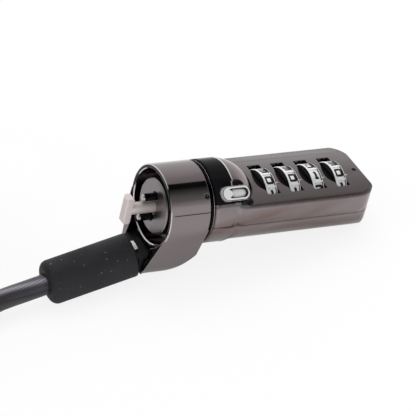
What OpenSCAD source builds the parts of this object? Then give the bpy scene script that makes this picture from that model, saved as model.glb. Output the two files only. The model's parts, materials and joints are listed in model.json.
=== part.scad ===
// Combination cable lock for laptop security slots.
// A T-shaped head and two side pins enter a 3 x 7 mm slot. The head turns a
// quarter turn when the button is pressed, and four dials hold it there.
// The steel cable hinges in a yoke under a barrel that swivels round the nose.
//
// Lock axes: X runs from the nose to the tail along the swivel axis, Z is the
// normal of the face that carries the dials, and X = 0 is the barrel's front.
// at_rest() lays the lock on its tail and its boot, as it lies on a table.

/* [Barrel] */
// Outer radius of the swivelling barrel
barrel_r = 9; // [8:0.1:10.5]
// Length of the barrel's skin
barrel_len = 9.6; // [8.5:0.1:12]
// Wall of the barrel round its open nose
rim_wall = 1; // [0.8:0.1:1.5]
// Depth of the open nose
recess_depth = 4.6; // [3.5:0.1:6]

/* [Nose] */
// Radius of the tube that the barrel swivels on
core_r = 5; // [4.4:0.1:5.6]
// Radius of the disc at the end of the tube
disc_r = 6.1; // [5.9:0.1:6.8]
// Radius of the T-bar's neck
neck_r = 1.3; // [1:0.05:1.4]
// Length of the T-bar's head, across the lock
head_l = 6.4; // [5.5:0.1:6.8]
// Width of the T-bar's head
head_w = 2.1; // [1.7:0.1:2.8]
// Thickness of the T-bar's head, along the lock
head_t = 1.7; // [1.4:0.1:2.2]
// Gap between the barrel's front and the back of the head
head_gap = 4.9; // [4:0.1:6]
// Distance of the side pins from the axis
pin_off = 2.5; // [2.3:0.05:2.6]
// Radius of the side pins
pin_r = 0.85; // [0.7:0.05:0.95]
// Reach of the side pins past the barrel's front
pin_reach = 2.6; // [1.8:0.1:3.2]

/* [Yoke] */
// Radius of the rounded underside that the ears are cut from
yoke_r = 6.2; // [6.1:0.1:7]
// Distance of that radius's centre below the barrel's skin
yoke_below = 1; // [0.5:0.1:2]
// Gap between the two ears
slot_w = 9.9; // [9.8:0.1:10.4]
// Pivot's place behind the barrel's front
pivot_x = 1.2; // [1:0.1:2]
// Pivot's distance below the barrel's skin
pivot_below = 2.35; // [2.3:0.05:2.8]
// Radius of the pivot pin
pivot_r = 1; // [0.8:0.05:1.1]

/* [Housing] */
// Width of the housing
body_w = 18.2; // [17:0.1:21]
// Height of the dial face above the axis
face_z = 3.84; // [3.6:0.02:4.2]
// Depth of the underside below the axis
belly_z = 6.9; // [6.7:0.1:8]
// Room between the dial bay and the end of the tail
tail_room = 4.67; // [4.4:0.01:10]
// Wall of the tail
tail_wall = 1; // [0.8:0.1:1.5]
// Corner radius of the tail, seen from above
tail_r = 5; // [3:0.1:6.5]
// Corner radius of the underside
belly_r = 6; // [4:0.1:6.4]
// Height of the seam between the two housing shells
seam_z = -0.6; // [-1.2:0.1:0]
// Wall over the dials
face_wall = 0.65; // [0.6:0.05:0.75]

/* [Dials] */
// Number of dials
dials = 4; // [3:1:4]
// First window's edge, from the barrel's front
window_x = 24.88; // [24.5:0.02:25.4]
// Distance from one window to the next
pitch = 5.8; // [5.7:0.05:6.2]
// Width of a window, along the lock
window_w = 3.15; // [3:0.05:3.4]
// Length of a window, across the lock
window_l = 10.54; // [10:0.02:11.5]
// Radius of a dial over its printed rim
dial_r = 5.5; // [5.2:0.05:5.7]
// Width of a dial's rim
dial_w = 2.6; // [2.2:0.05:2.8]

/* [Button] */
// Length of the button
button_l = 6.6; // [5.5:0.1:7.5]
// Width of the button
button_w = 3.2; // [2.6:0.1:3.6]
// Height of the button's rim above the axis
button_top = 9.8; // [9.6:0.1:10.4]
// Travel of the button
button_travel = 1.2; // [0.8:0.05:1.3]
// Angle of the button from the face's normal, towards the near side
button_angle = 47; // [40:1:60]

/* [Cable] */
// Outside diameter of the sleeved cable
cable_d = 4.5; // [4:0.1:5]
// Diameter of the rubber boot
boot_d = 9.6; // [9:0.1:10]
// Length of the boot
boot_l = 19.5; // [16:0.1:24]
// Turns in each of the coil's four layers
turns = 2.3; // [1.9:0.1:2.5]
// Radius of the innermost turn, at the middle of the cable
coil_inner = 17; // [17:0.5:18]
// Distance between neighbouring turns
turn_pitch = 5; // [4.95:0.05:6]

/* [Fits] */
// Radial clearance of the pieces that turn on one another
fit = 0.06; // [0.03:0.01:0.1]
// Gap round loose pieces
gap = 0.2; // [0.15:0.05:0.3]

/* [Hidden] */
$fn = 64;

// Attitude at rest. The lock leans on its tail's lower edge and on its boot.
pitch_deg = 12.5;
lift = 17.26;
shift_x = -12.91;

// Colours
gunmetal = [0.46, 0.43, 0.44];
black_nickel = [0.12, 0.12, 0.13];
satin = [0.78, 0.74, 0.74];
steel = [0.66, 0.66, 0.68];
rubber = [0.13, 0.13, 0.14];
sleeve = [0.32, 0.31, 0.34];

// Stations along the lock axis
ring_gap = 0.3;
spigot_r = barrel_r - 1.6;
yoke_drop = barrel_r + yoke_below;
pivot_z = barrel_r + pivot_below;
ring_x = barrel_len + ring_gap;
ring_w = 0.75;
ring_end = ring_x + ring_w;
collar_x = ring_end + gap;
collar_end = collar_x + 4.55;
collar_half_deg = 60;
neck_ro = barrel_r - 1.2;
dome_x = collar_end - 0.9;
dome_r = barrel_r + 0.05;
body_x = collar_end;
bay_x = window_x - 0.7;
bay_end = window_x + (dials - 1) * pitch + window_w + 0.7;
tail_x = bay_end + tail_room;
bay_r = dial_r + 0.4;
bay_w = 2 * bay_r + 0.6;
disc_x = 0.4;
disc_t = 1.8;
core_end = collar_end - 0.2;

// Quarter-turn crank and the yoke plate that the button pushes
crank_e = button_travel / (2 * sin(45));
crank_pin_r = 0.5;
crank_disc_r = 1.9;
crank_x = core_end + 0.3;
crank_t = 1.2;
plate_x = crank_x + crank_t + 0.15;
plate_t = 1.5;
plate_w = 3.6;
plate_low = 2.6;
ramp_x = plate_x + plate_t;
spindle_x = ramp_x + fit;
spindle_end = bay_end + 0.6;
spindle_r = 1.2;
button_under = button_top - 1.8;

// Boot and fitting, measured along the boot from the pivot
boot_deg = 15.5;
boot_start = 3.6;
boot_end = boot_start + boot_l;
knuckle_r = 2;
knuckle_w = slot_w - 0.7;

// ---------------------------------------------------------------- helpers

// Lays the lock at rest
module at_rest() {
    translate([shift_x, 0, lift]) rotate([0, pitch_deg, 0]) children();
}

// Extrudes an outline in Y and Z along X
module along_x(x, length) {
    translate([x, 0, 0]) rotate([90, 0, 90]) linear_extrude(length) children();
}

// Extrudes an outline in X and Z across Y, centred
module across_y(width) {
    translate([0, width / 2, 0]) rotate([90, 0, 0]) linear_extrude(width) children();
}

// Round bar along the lock axis
module bar(x, length, r) {
    translate([x, 0, 0]) rotate([0, 90, 0]) cylinder(h = length, r = r);
}

// Tube along the lock axis
module tube(x, length, r, bore) {
    difference() {
        bar(x, length, r);
        bar(x - 1, length + 2, bore);
    }
}

// Revolves an outline of radius and station about the lock axis
module turned() {
    rotate([0, 90, 0]) rotate_extrude() children();
}

// Rectangle with four round corners of their own radii
module round_rect(x0, y0, x1, y1, r00, r10, r11, r01) {
    corners = [[x0, y0, r00, 1, 1], [x1, y0, r10, -1, 1],
               [x1, y1, r11, -1, -1], [x0, y1, r01, 1, -1]];
    difference() {
        translate([x0, y0]) square([x1 - x0, y1 - y0]);
        for (c = corners) if (c[2] > 0) difference() {
            translate([c[0] + (c[3] > 0 ? -1 : 1 - c[2] - 1), c[1] + (c[4] > 0 ? -1 : 1 - c[2] - 1)])
                square(c[2] + 1);
            translate([c[0] + c[3] * c[2], c[1] + c[4] * c[2]]) circle(c[2]);
        }
    }
}

// Stadium along X
module stadium(length, width) {
    union() {
        square([length - width, width], center = true);
        for (s = [-1, 1]) translate([s * (length - width) / 2, 0]) circle(width / 2);
    }
}

// Frame of the button: Z points out of the lock, X along it
module button_frame() {
    rotate([button_angle, 0, 0]) children();
}

// Frame of the boot: X runs from the pivot along the boot
module boot_frame() {
    translate([pivot_x, 0, -pivot_z]) rotate([0, 180 - boot_deg, 0]) children();
}

// ---------------------------------------------------------------- barrel

// Cross-section of barrel and yoke: two circles and their common tangents
module yoke_section() {
    lean = asin((barrel_r - yoke_r) / yoke_drop);
    union() {
        circle(barrel_r);
        translate([0, -yoke_drop]) circle(yoke_r);
        polygon([for (s = [-1, 1], k = [0, 1])
            let (j = s < 0 ? k : 1 - k, r = j ? yoke_r : barrel_r, d = j ? yoke_drop : 0)
            [s * r * cos(lean), r * sin(-lean) - d]]);
    }
}

// Side view of the yoke: a round heel behind a front edge that leans forward
module yoke_side() {
    heel = barrel_len - 0.1;
    low = -barrel_r - 6;
    intersection() {
        translate([1.2, 4.4 - barrel_r]) circle(heel);
        polygon([[0, -1], [barrel_len, -1], [barrel_len, low], [-2.1, low], [-1.75, low + 2.4]]);
    }
}

module barrel() {
    color(gunmetal) difference() {
        union() {
            turned() polygon([
                [core_r + fit, recess_depth], [barrel_r - rim_wall, recess_depth],
                [barrel_r - rim_wall, 0.25], [barrel_r - rim_wall + 0.25, 0],
                [barrel_r - 0.25, 0], [barrel_r, 0.25],
                [barrel_r, barrel_len - 0.25], [barrel_r - 0.25, barrel_len],
                [spigot_r, barrel_len], [spigot_r, ring_end],
                [core_r + fit, ring_end]]);
            difference() {
                intersection() {
                    along_x(-3, barrel_len + 3) yoke_section();
                    across_y(2 * barrel_r + 2) yoke_side();
                }
                bar(-3, barrel_len + 6, barrel_r - 0.2);
                // the slot between the ears
                translate([-4, -slot_w / 2, -20]) cube([barrel_len + 8, slot_w, 20]);
            }
        }
        // pivot bore: through the far ear, blind in the near one
        translate([pivot_x, -slot_w / 2 - 0.7, -pivot_z]) rotate([-90, 0, 0])
            cylinder(h = slot_w + 4, r = pivot_r);
        button_frame() translate([barrel_len - 0.9, 0, spigot_r - 0.5]) cylinder(h = 3, r = 0.62);
    }
}

module trim_ring() {
    inner = spigot_r + 0.02;
    outer = barrel_r - 0.05;
    color(gunmetal) turned() polygon([[inner, ring_x], [outer - 0.35, ring_x], [outer, ring_x + 0.35],
        [outer, ring_end - 0.35], [outer - 0.35, ring_end], [inner, ring_end]]);
}

module grub_screw() {
    color(steel) button_frame() translate([barrel_len - 0.9, 0, 0]) difference() {
        translate([0, 0, spigot_r - 0.45]) cylinder(h = barrel_r - spigot_r + 0.3, r = 0.6);
        translate([0, 0, barrel_r - 0.6]) cylinder(h = 1, r = 0.32, $fn = 6);
    }
}

module pivot_pin() {
    length = slot_w + 0.65 + sqrt(yoke_r * yoke_r - pow(pivot_z - yoke_drop + pivot_r, 2)) - slot_w / 2;
    color(steel) translate([pivot_x, -slot_w / 2 - 0.65, -pivot_z]) rotate([-90, 0, 0])
        cylinder(h = length, r = pivot_r - 0.01);
}

// ---------------------------------------------------------------- housing

// Outside of the housing: a dome over the neck, run into a flat-topped body
module housing_form() {
    intersection() {
        translate([dome_x, 0, 0]) rotate([0, 90, 0]) sphere(dome_r);
        translate([body_x, -20, -20]) cube([20, 40, 40]);
    }
    intersection() {
        along_x(body_x, tail_x - body_x)
            round_rect(-body_w / 2, -belly_z, body_w / 2, face_z, belly_r, belly_r, 0.5, 0.5);
        translate([0, 0, -20]) linear_extrude(40)
            round_rect(body_x, -body_w / 2, tail_x, body_w / 2, 3, tail_r, tail_r, 3);
        across_y(40) round_rect(body_x, -belly_z, tail_x, face_z, 2.5, 2.5, 0.4, 0);
    }
}

// Shallow hollow round the button, wider above it for the fingertip
module button_hollow() {
    button_frame() translate([collar_end + 0.2, 0.35, button_top - 1.75])
        linear_extrude(10) stadium(button_l + 1.1, button_w + 1.5);
}

// Everything that is cut out of both shells
module housing_hollow() {
    // neck bore for the nose tube, and the crank behind it
    bar(body_x - 10, core_end - body_x + 10.05, core_r + 0.02);
    bar(core_end - 1, crank_x + crank_t - core_end + 1.1, crank_disc_r + gap);
    // room of the yoke plate and its ramp
    button_frame() translate([plate_x - 0.1, -plate_w / 2 - fit, -plate_low - button_travel - 0.15])
        cube([plate_t + 0.2, plate_w + 2 * fit, plate_low + button_under + 0.1]);
    button_frame() translate([ramp_x - 0.1, -1.5, -2.9]) cube([2.1, 3, 5.3]);
    // pocket of the button, with a wider hollow round its rim
    button_frame() translate([collar_end, 0, button_under - button_travel - 0.1])
        linear_extrude(10) stadium(button_l + 2 * gap, button_w + 2 * gap);
    button_hollow();
    button_frame() translate([collar_end - 2, 0, button_under - 2.4]) cylinder(h = 3, r = 0.8);
    // way of the spindle, with a key slot for its first fin
    bar(ramp_x, tail_x - tail_wall - ramp_x, spindle_r + fit);
    translate([fin_x(0) - 0.15, -fin_w / 2 - 0.1, 0]) cube([bay_x - fin_x(0) + 0.25, fin_w + 0.2, fin_top + 0.15]);
    // bay of the dials
    along_x(bay_x, bay_end - bay_x) difference() {
        union() {
            circle(bay_r);
            translate([-bay_w / 2, -bay_r + 2.4]) square([bay_w, face_z - face_wall + bay_r - 2.4]);
        }
        translate([-20, face_z - face_wall]) square([40, 10]);
    }
    for (i = [0 : dials - 1])
        translate([window_x + i * pitch, -window_l / 2, 0]) cube([window_w, window_l, 20]);
}

// Places of the two case screws, from below
screw_at = [for (s = [-1, 1]) each [[bay_x - 2.6, s * 5.2], [bay_end + 1.6, s * 5.4]]];
screw_r = 0.6;
screw_head_r = 1.2;
screw_sink = 1.3;
screw_head = 1.05;
thread = 2.4;

module screw_holes(clear) {
    for (p = screw_at) {
        translate([p[0], p[1], -20]) cylinder(h = 20 + seam_z + thread, r = screw_r + clear);
        translate([p[0], p[1], -20]) cylinder(h = 20 - belly_z + screw_sink + screw_head + 0.05, r = screw_head_r + 0.1);
    }
}

// Neck that the collar sits on. Below the collar's ends it is as wide as the barrel.
module neck() {
    union() {
        bar(collar_x + 0.05, body_x - collar_x, neck_ro);
        difference() {
            turned() polygon([[neck_ro - 0.5, collar_x], [barrel_r - 0.3, collar_x], [barrel_r - 0.05, collar_x + 0.25],
                [barrel_r - 0.05, body_x + 0.05], [neck_ro - 0.5, body_x + 0.05]]);
            collar_sector(fit);
        }
    }
}

// Sector of the collar, wide over the top
module collar_sector(more) {
    along_x(collar_x - 1, collar_end - collar_x + 0.97) translate([0, -2 * more])
        polygon([[0, 0], [20 * tan(collar_half_deg), 20], [-20 * tan(collar_half_deg), 20]]);
}

module upper_housing() {
    color(gunmetal) intersection() {
        translate([0, -20, seam_z]) cube([80, 40, 20]);
        difference() {
            union() {
                housing_form();
                neck();
            }
            housing_hollow();
            screw_holes(-0.02);
            // dimple near the tail
            translate([tail_x - 1.65, 0, face_z - 0.4]) cylinder(h = 2, r = 0.55);
        }
    }
}

module lower_housing() {
    color(gunmetal) intersection() {
        translate([0, -20, seam_z - 0.12 - 20]) cube([80, 40, 20]);
        difference() {
            union() {
                housing_form();
                neck();
            }
            housing_hollow();
            screw_holes(0.05);
        }
    }
}

module collar() {
    color(black_nickel) difference() {
        intersection() {
            turned() polygon([[neck_ro + 0.03, collar_x], [barrel_r - 0.3, collar_x], [barrel_r, collar_x + 0.3],
                [barrel_r, collar_end - 0.15], [barrel_r - 0.1, collar_end - 0.03], [neck_ro + 0.03, collar_end - 0.03]]);
            collar_sector(0);
        }
        button_frame() translate([collar_end, 0, 0]) linear_extrude(12)
            stadium(button_l + 2 * gap, button_w + 2 * gap);
        button_hollow();
    }
}

module nose_core() {
    color(gunmetal) difference() {
        turned() polygon([[neck_r + fit, disc_x + 0.3], [neck_r + fit + 0.3, disc_x],
            [disc_r - 0.35, disc_x], [disc_r, disc_x + 0.35], [disc_r, disc_x + disc_t],
            [core_r + 0.5, disc_x + disc_t], [core_r + 0.5, recess_depth - fit], [core_r, recess_depth - fit],
            [core_r, core_end], [neck_r + fit, core_end]]);
        for (s = [-1, 1]) translate([0, 0, s * pin_off]) {
            bar(disc_x - 1, disc_t + 0.6, pin_r + 0.02);
            bar(disc_x - 1, 1.35, pin_r + 0.3);
        }
    }
}

module security_pins() {
    color(black_nickel) for (s = [-1, 1]) translate([0, 0, s * pin_off]) {
        bar(-pin_reach + 0.3, pin_reach - 0.3 + disc_x + disc_t - 0.6, pin_r);
        translate([-pin_reach, 0, 0]) rotate([0, 90, 0]) cylinder(h = 0.3, r1 = pin_r - 0.3, r2 = pin_r);
    }
}

// Leaf of four fingers beside the dials. Each finger rides in a dial's notches.
finger_y = bay_r - 0.25;
module detent_spring() {
    color(steel) {
        union() {
            translate([bay_x + 0.2, finger_y, -2.2]) cube([bay_end - bay_x - 0.4, 0.3, 3.2]);
            for (i = [0 : dials - 1]) translate([hub_x(i) + 0.15, 0, 0]) {
                translate([0, hub_r + 0.47, -0.42]) cube([hub_w - 0.3, finger_y - hub_r - 0.3, 0.84]);
                translate([0, hub_r + 0.47, 0]) rotate([0, 90, 0]) cylinder(h = hub_w - 0.3, r = 0.42);
            }
        }
    }
}

// The springs are drawn at their pressed length
module spindle_spring() {
    length = tail_x - tail_wall - spindle_end - button_travel - 0.1;
    color(steel) tube(tail_x - tail_wall - length - 0.02, length, spindle_r - 0.1, spindle_r - 0.5);
}

module housing_screws() {
    color(steel) for (p = screw_at) translate([p[0], p[1], 0]) difference() {
        union() {
            translate([0, 0, screw_sink - belly_z + 0.3])
                cylinder(h = belly_z - screw_sink - 0.3 + seam_z + thread - 0.2, r = screw_r - 0.03);
            translate([0, 0, screw_sink - belly_z]) cylinder(h = screw_head, r = screw_head_r);
        }
        for (a = [0, 90]) rotate([0, 0, a]) translate([-0.8, -0.15, screw_sink - belly_z - 0.3])
            cube([1.6, 0.3, 0.8]);
    }
}

// ---------------------------------------------------------------- dials

hub_r = 3.05;
hub_w = 0.9;
sleeve_r = 2.35;
function dial_x(i) = window_x + i * pitch + (window_w - dial_w) / 2;
function hub_x(i) = dial_x(i) + dial_w;
function sleeve_x(i) = dial_x(i) + 0.1;

field_deep = 0.25;
near_rim = 0.45;
far_rim = 0.3;
ridge_w = 0.42;

// Ring with ten sunk fields between raised rims and ridges, and a notched hub
module dial(i) {
    floor_r = dial_r - field_deep;
    color(satin) difference() {
        union() {
            turned() polygon([[sleeve_r + 0.03, dial_x(i)], [dial_r - 0.15, dial_x(i)], [dial_r, dial_x(i) + 0.15],
                [dial_r, dial_x(i) + near_rim - 0.1], [floor_r, dial_x(i) + near_rim],
                [floor_r, hub_x(i) - far_rim], [dial_r, hub_x(i) - far_rim + 0.1],
                [dial_r, hub_x(i) - 0.1], [dial_r - 0.1, hub_x(i)], [sleeve_r + 0.03, hub_x(i)]]);
            for (k = [0 : 9]) rotate([36 * k + 38, 0, 0])
                translate([dial_x(i) + near_rim - 0.15, -ridge_w / 2, floor_r - 0.3])
                    cube([dial_w - near_rim - far_rim + 0.3, ridge_w, field_deep + 0.24]);
            bar(hub_x(i) - 0.1, hub_w + 0.1, hub_r);
        }
        bar(dial_x(i) - 1, dial_w + hub_w + 2, sleeve_r + 0.03);
        // one notch for each number
        for (k = [0 : 9]) rotate([36 * k, 0, 0]) translate([0, hub_r + 0.2, 0]) rotate([0, 90, 0])
            translate([0, 0, hub_x(i)]) cylinder(h = hub_w + 1, r = 0.5);
    }
}

// Sleeve inside a dial, with the gate that lets a spindle fin through
module code_sleeve(i) {
    color(steel) difference() {
        bar(sleeve_x(i), dial_w + hub_w - 0.2, sleeve_r);
        bar(dial_x(i) - 1, dial_w + hub_w + 2, spindle_r + fit);
        translate([dial_x(i) - 1, -fin_w / 2 - 0.1, 0]) cube([dial_w + hub_w + 2, fin_w + 0.2, fin_top + 0.15]);
    }
}

// ---------------------------------------------------------------- mechanism

module t_bar() {
    color(satin) {
        difference() {
            translate([-head_gap - head_t, -head_w / 2, -head_l / 2]) cube([head_t, head_w, head_l]);
            // bevels on the leading edges and the trailing ends
            for (s = [-1, 1]) {
                translate([-head_gap - head_t, 0, s * head_l / 2]) rotate([0, 45, 0])
                    cube([0.55, head_w + 1, 0.55], center = true);
                translate([-head_gap - head_t, s * head_w / 2, 0]) rotate([0, 0, 45])
                    cube([0.4, 0.4, head_l + 1], center = true);
                translate([-head_gap, 0, s * head_l / 2]) rotate([0, 45, 0])
                    cube([0.4, head_w + 1, 0.4], center = true);
            }
        }
        bar(-head_gap - 0.2, head_gap + crank_x + 0.2, neck_r);
    }
}

// Crank on the T-bar's inner end, with its pin off the axis
module t_bar_crank() {
    color(steel) {
        bar(crank_x + 0.01, crank_t, crank_disc_r);
        button_frame() translate([0, -crank_e * sin(45), crank_e * sin(45)])
            bar(crank_x + crank_t - 0.1, plate_x - crank_x - crank_t + 1.1, crank_pin_r);
    }
}

// Outline of the ramp behind the yoke plate, in X and Z of the button's frame
function ramp_face(z) = ramp_x + 0.6 + z;

module lock_spindle() {
    color(steel) difference() {
        union() {
            bar(spindle_x, spindle_end - spindle_x, spindle_r);
            for (i = [0 : dials - 1])
                translate([fin_x(i), -fin_w / 2, 0]) cube([fin_w, fin_w, fin_top]);
        }
        // slope that the ramp pushes on
        button_frame() across_y(10) polygon([[ramp_x - 1, -4], [ramp_face(-4) + fit, -4],
            [ramp_face(4) + fit, 4], [ramp_x - 1, 4]]);
    }
}
fin_w = 0.9;
fin_top = 1.95;
// a fin stands between two sleeves, and the full travel takes it up to its gate
function fin_x(i) = sleeve_x(i) - gap - button_travel - fin_w;

module button() {
    color(satin) button_frame() {
        difference() {
            union() {
                translate([collar_end, 0, button_under]) linear_extrude(button_top - button_under - 0.3)
                    stadium(button_l, button_w);
                translate([collar_end, 0, button_top - 0.3]) linear_extrude(0.3)
                    stadium(button_l - 0.4, button_w - 0.4);
                // stem and yoke plate
                translate([plate_x, -plate_w / 2, -plate_low]) cube([plate_t, plate_w, plate_low + 3.4]);
                translate([plate_x, -0.9, 3]) cube([plate_t, 1.8, button_under - 2.9]);
                // ramp that drives the spindle
                intersection() {
                    translate([ramp_x - 0.1, -1.4, -2.6]) cube([4, 2.8, 3.8]);
                    across_y(10) polygon([[ramp_x - 0.1, -0.6], [ramp_x, -0.6], [ramp_face(1.2), 1.2],
                        [ramp_x - 0.1, 1.2]]);
                }
            }
            // dished top, behind a round stop
            translate([collar_end + 0.45, 0, button_top - 0.6]) linear_extrude(1) difference() {
                stadium(button_l - 1.7, button_w - 1.1);
                translate([-button_l / 2 + 1.15, 0]) circle(0.75);
            }
            // blind slot of the crank pin
            translate([plate_x - 1, -crank_e - crank_pin_r - 0.1, crank_e * sin(45) - crank_pin_r - 0.08])
                cube([2.1, 2 * crank_e + 2 * crank_pin_r + 0.2, 2 * crank_pin_r + 0.16]);
        }
    }
}

module button_spring() {
    color(steel) button_frame() translate([collar_end - 2, 0, button_under - 2.38]) difference() {
        cylinder(h = 2.3 - button_travel, r = 0.7);
        translate([0, 0, -1]) cylinder(h = 5, r = 0.4);
    }
}

// ---------------------------------------------------------------- cable

ferrule_r = 2.9;
crimp_end = boot_start + 11;
module cable_fitting() {
    color(black_nickel) boot_frame() difference() {
        union() {
            rotate([90, 0, 0]) cylinder(h = knuckle_w, r = knuckle_r, center = true);
            translate([0, -knuckle_w / 2, -knuckle_r]) cube([boot_start - 0.1, knuckle_w, 2 * knuckle_r]);
            translate([boot_start - 1.2, 0, 0]) rotate([0, 90, 0]) cylinder(h = 1.1, r = 3);
            bar(boot_start - 0.2, 11.2, ferrule_r);
        }
        rotate([90, 0, 0]) cylinder(h = 40, r = pivot_r + fit, center = true);
        bar(boot_start + 1.5, 20, cable_d / 2 + 0.02);
    }
}

module cable_boot() {
    nose = 1.6;
    color(rubber) boot_frame() difference() {
        rotate([0, 90, 0]) rotate_extrude() union() {
            translate([0, boot_start + 0.4]) square([boot_d / 2, boot_l - nose - 0.4]);
            translate([0, boot_start]) square([boot_d / 2 - 0.4, 1]);
            translate([boot_d / 2 - 0.4, boot_start + 0.4]) circle(0.4);
            translate([0, boot_start + 1]) square([boot_d / 2 - nose, boot_l - 1]);
            translate([boot_d / 2 - nose, boot_end - nose]) circle(nose);
        }
        bar(boot_start - 1, crimp_end - boot_start + 1.1, ferrule_r + 0.02);
        bar(boot_start, boot_l + 1, cable_d / 2 + 0.02);
    }
}

// Rings of a tube swept along points, each square to its neighbours' chord
function unit(v) = v / norm(v);
function way(points, i) =
    let (n = len(points) - 1) unit(points[min(i + 1, n)] - points[max(i - 1, 0)]);
function ring(point, dir, r, sides) =
    let (side = unit(cross(dir, [0, 0, 1])), up = cross(side, dir))
    [for (k = [0 : sides - 1]) let (a = 360 * (k + 0.5) / sides)
        point + r * (cos(a) * side + sin(a) * up)];

module sweep(points, r, sides) {
    n = len(points);
    rings = [for (i = [0 : n - 1]) each ring(points[i], way(points, i), r, sides)];
    walls = [for (i = [0 : n - 2], k = [0 : sides - 1])
        let (a = i * sides + k, b = i * sides + (k + 1) % sides)
        each [[a, b, b + sides], [a, b + sides, a + sides]]];
    o = (n - 1) * sides;
    ends = [for (k = [1 : sides - 2]) each [[0, k + 1, k], [o, o + k, o + k + 1]]];
    polyhedron(points = rings, faces = concat(walls, ends), convexity = 10);
}

// Where a point at distance s along the boot comes to lie at rest
function boot_point(s) =
    let (x = pivot_x - s * cos(boot_deg), z = -pivot_z - s * sin(boot_deg))
    [x * cos(pitch_deg) + z * sin(pitch_deg) + shift_x, 0, z * cos(pitch_deg) - x * sin(pitch_deg) + lift];

// Height of the lowest turns, middle of the coil and its outermost turn
coil_z = 2.3;
coil_at = [-81, 21.6];
coil_outer = coil_inner + turns * turn_pitch;
coil_steps = 24;

// Cable from its seat in the fitting to the coil. The points after the boot are chosen.
lead_in = concat([boot_point(boot_start + 1.6), boot_point(boot_end)],
    [[-42, 0, 4.42], [-47.5, 0, 4.1], [-52.5, -0.7, 3.6], [-57.5, -3, 3.1], [-62.5, -5.6, 2.6],
     [-66, -6.6, 2.4], [-69.5, -6.9, 2.3], [coil_at[0] + cable_d, coil_at[1] - coil_outer, coil_z]]);

// The coil winds in, out, in and out again at a steady rate. It climbs a
// layer in the half turn round each reversal.
function coil_point(t) =
    let (r = coil_inner + abs(turns - (t % (2 * turns))) * turn_pitch, a = -90 - 360 * t,
         climbs = [for (k = [1 : 3]) min(1, max(0, 2 * (t - k * turns) + 0.5))])
    [coil_at[0] + r * cos(a), coil_at[1] + r * sin(a), coil_z + turn_pitch * (climbs[0] + climbs[1] + climbs[2])];

coil_end = coil_point(4 * turns - 0.0001);
leave_deg = -180 - 360 * 4 * turns;
coil_points = concat([coil_point(0) + [cable_d, 0, 0]],
    [for (k = [0 : floor(4 * turns * coil_steps) - 1]) coil_point(k / coil_steps)],
    [coil_end, coil_end + cable_d * [cos(leave_deg), sin(leave_deg), 0]]);

// Least gap between turns, between points a third of a turn or more apart
coil_gap = min([for (i = [0 : len(coil_points) - 1]) each [for (j = [i + 8 : 1 : len(coil_points) - 1])
    norm(coil_points[i] - coil_points[j])]]) - cable_d;
echo(least_gap_of_the_coil_mm = coil_gap);

// The far end turns in over the coil and ends in a crimped loop
tail_bend = 14;
loop_deg = 5;
ferrule_l = 11;
ferrule_h = cable_d + 1.6;
strand = cable_d / 2 + 0.8;
loop_z = coil_z + 3.5 * turn_pitch + 0.6 + ferrule_h / 2;
loop_r = 13;
loop_l = 27;
tail_from = coil_points[len(coil_points) - 1];
tail_turn = (leave_deg - loop_deg) % 360 + 360;
tail_start = tail_from + 2 * [cos(leave_deg), sin(leave_deg), 0];
tail_centre = tail_start + tail_bend * [sin(leave_deg), -cos(leave_deg), 0];
function smooth(u) = let (v = min(1, max(0, u))) v * v * (3 - 2 * v);
function tail_point(a) = tail_centre
    + tail_bend * [-sin(leave_deg - a), cos(leave_deg - a), 0]
    + [0, 0, (loop_z - tail_from[2]) * smooth(a / 80)];
tail_steps = 12;
tail = concat([tail_from], [for (k = [0 : tail_steps]) tail_point(k * tail_turn / tail_steps)],
    [tail_point(tail_turn) + 3 * [cos(loop_deg), sin(loop_deg), 0]]);

module cable() {
    color(sleeve) sweep(lead_in, cable_d / 2, 10);
}

module cable_coil() {
    color(sleeve) sweep(coil_points, cable_d / 2, 6);
}

module cable_tail() {
    color(sleeve) sweep(tail, cable_d / 2, 10);
}

// Frame of the loop: X points away from the ferrule, and Y = 0 is its middle
module loop_frame() {
    translate(tail[len(tail) - 1]) rotate([0, 0, loop_deg]) translate([0, -strand, 0]) children();
}

// Half of the loop, from inside the ferrule to the far end of its bow
half_loop = concat([[0, strand, 0], [ferrule_l, strand, 0]],
    [for (k = [1 : 5]) [ferrule_l + loop_l * k / 6, strand + (loop_r - strand) * smooth(k / 6), 0]],
    [for (k = [0 : 5]) [ferrule_l + loop_l + loop_r * sin(15 * k), loop_r * cos(15 * k), 0]]);
loop_points = concat(half_loop, [[ferrule_l + loop_l + loop_r, 0, 0]],
    [for (k = [len(half_loop) - 1 : -1 : 1]) [half_loop[k][0], -half_loop[k][1], 0]],
    [[1, -strand, 0]]);

module anchor_loop() {
    color(sleeve) loop_frame() sweep(loop_points, cable_d / 2, 10);
}

module loop_ferrule() {
    color(steel) loop_frame() rotate([90, 0, 90]) linear_extrude(ferrule_l) difference() {
        stadium(2 * strand + ferrule_h, ferrule_h);
        for (s = [-1, 1]) translate([s * strand, 0]) circle(cable_d / 2 + 0.02);
    }
}

// ---------------------------------------------------------------- assembly

at_rest() barrel();
at_rest() trim_ring();
at_rest() grub_screw();
at_rest() pivot_pin();
at_rest() upper_housing();
at_rest() lower_housing();
at_rest() collar();
at_rest() nose_core();
at_rest() security_pins();
at_rest() detent_spring();
at_rest() spindle_spring();
at_rest() housing_screws();
at_rest() dial(0);  // dial_1
at_rest() dial(1);  // dial_2
at_rest() dial(2);  // dial_3
at_rest() dial(3);  // dial_4
at_rest() code_sleeve(0);  // code_sleeve_1
at_rest() code_sleeve(1);  // code_sleeve_2
at_rest() code_sleeve(2);  // code_sleeve_3
at_rest() code_sleeve(3);  // code_sleeve_4
at_rest() t_bar();
at_rest() t_bar_crank();
at_rest() lock_spindle();
at_rest() button();
at_rest() button_spring();
at_rest() cable_fitting();
at_rest() cable_boot();
cable();
cable_coil();
cable_tail();
loop_ferrule();
anchor_loop();
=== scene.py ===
import json
import math

import bmesh
import bpy
from mathutils import Matrix, Vector


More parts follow.
